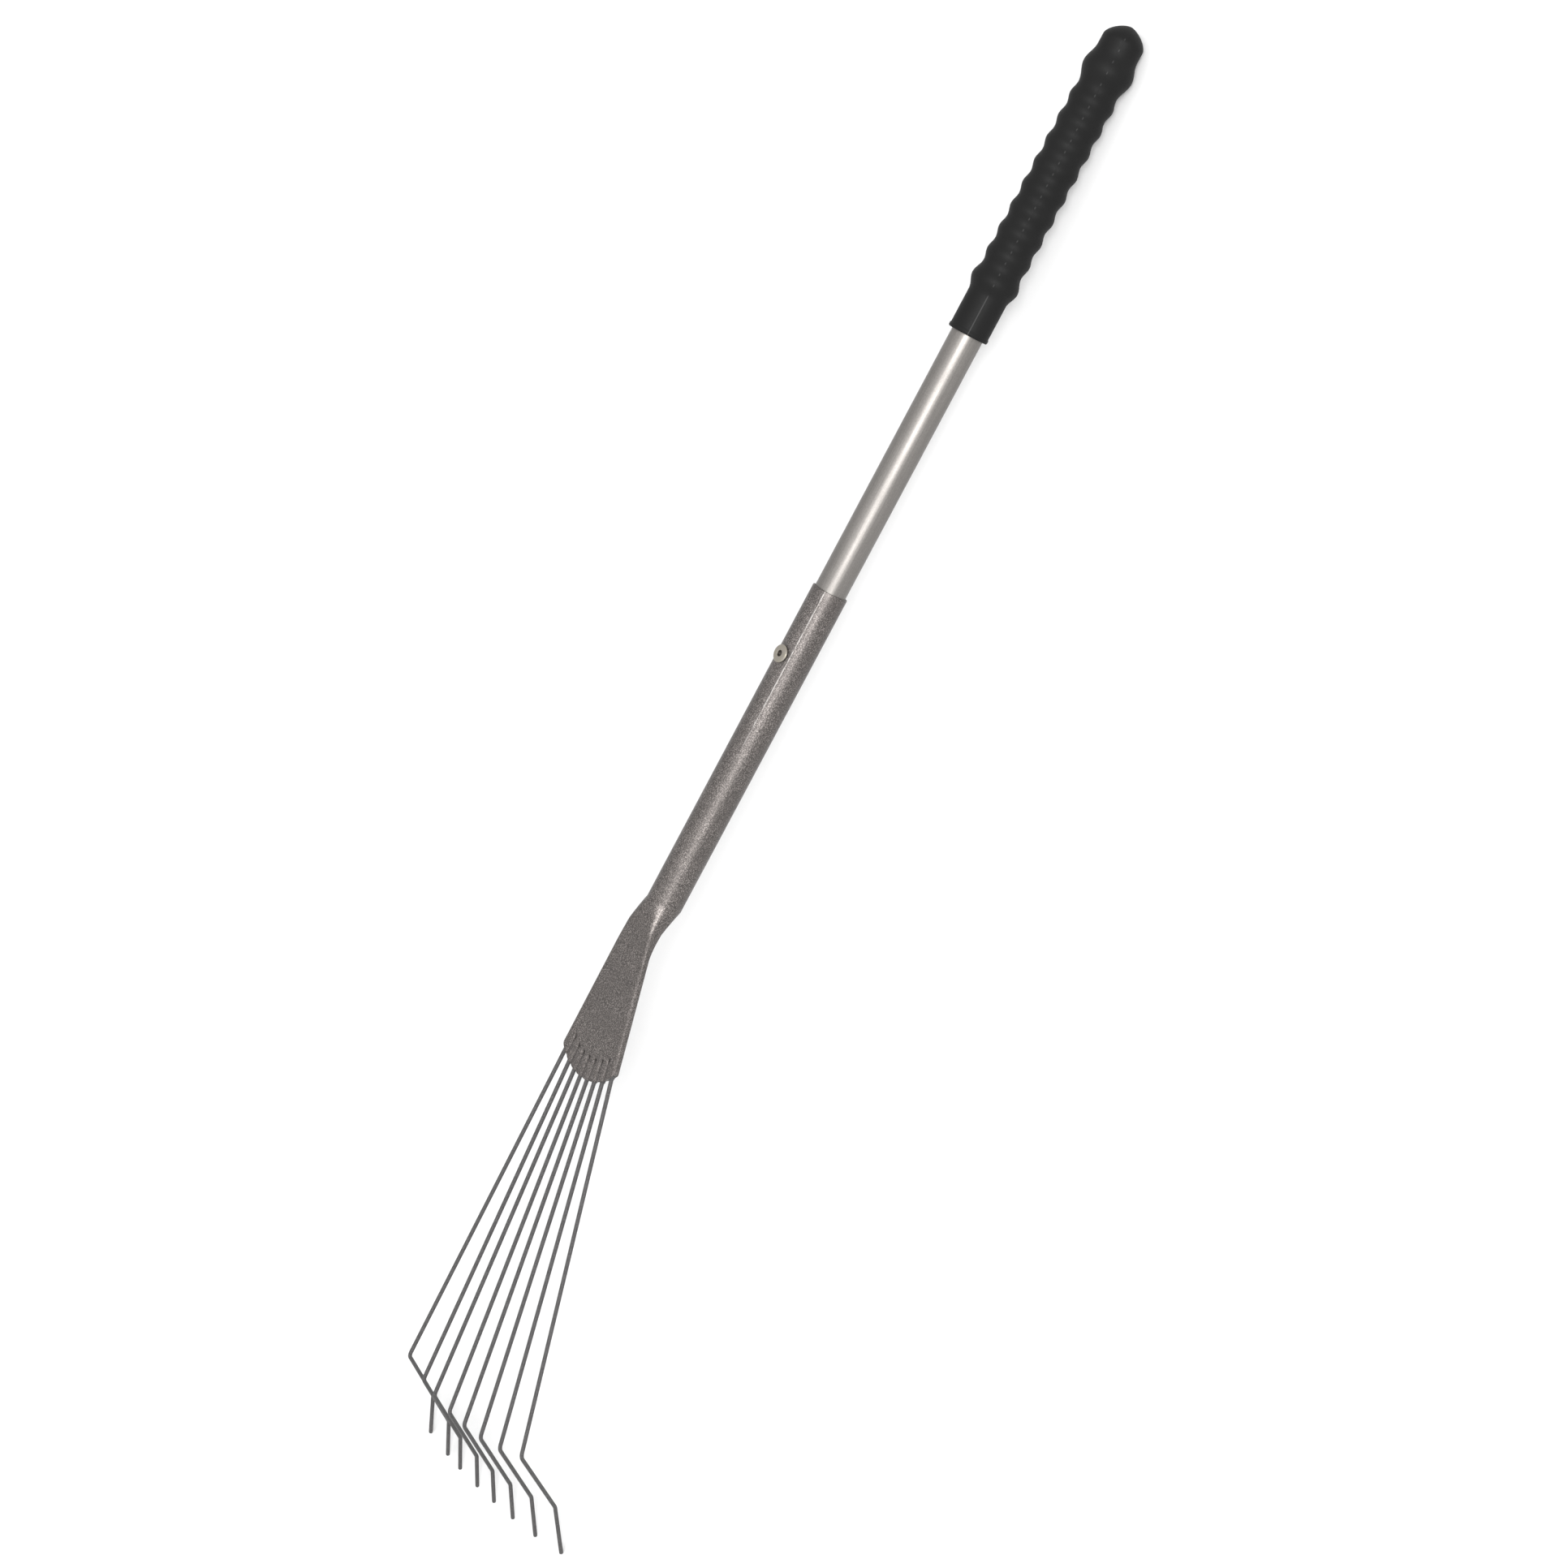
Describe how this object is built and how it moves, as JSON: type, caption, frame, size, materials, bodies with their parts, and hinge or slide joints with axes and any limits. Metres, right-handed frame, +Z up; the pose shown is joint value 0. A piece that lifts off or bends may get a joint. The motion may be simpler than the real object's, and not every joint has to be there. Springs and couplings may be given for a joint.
{
  "type": "leaf rake",
  "caption": "Narrow leaf rake with hooked spring steel wire tines fanned from a flattened tube end, a riveted two-step tube handle and a ribbed black grip.",
  "frame": {"origin": "centre of the bounding box's base, on the ground that the tine tips and the grip touch", "axes": "+X from the tines to the grip, +Y to the left as seen from the grip, +Z up, away from the ground"},
  "size_m": [1.1172, 0.1542, 0.1057],
  "materials": {
    "grip": "moulded black PVC with a satin skin",
    "upper_tube": "bright silver steel tube under clear lacquer",
    "lower_tube": "grey metallic paint with a fine speckle",
    "rivet": "zinc plated steel",
    "tines": "grey painted spring steel wire"
  },
  "bodies": {
    "root": {"grip": "grip", "upper_tube": "upper_tube", "lower_tube": "lower_tube", "rivet_body": "rivet", "rivet_mandrel": "rivet", "tine_1": "tines", "tine_2": "tines", "tine_3": "tines", "tine_4": "tines", "tine_5": "tines", "tine_6": "tines", "tine_7": "tines", "tine_8": "tines"}
  },
  "joints": []
}
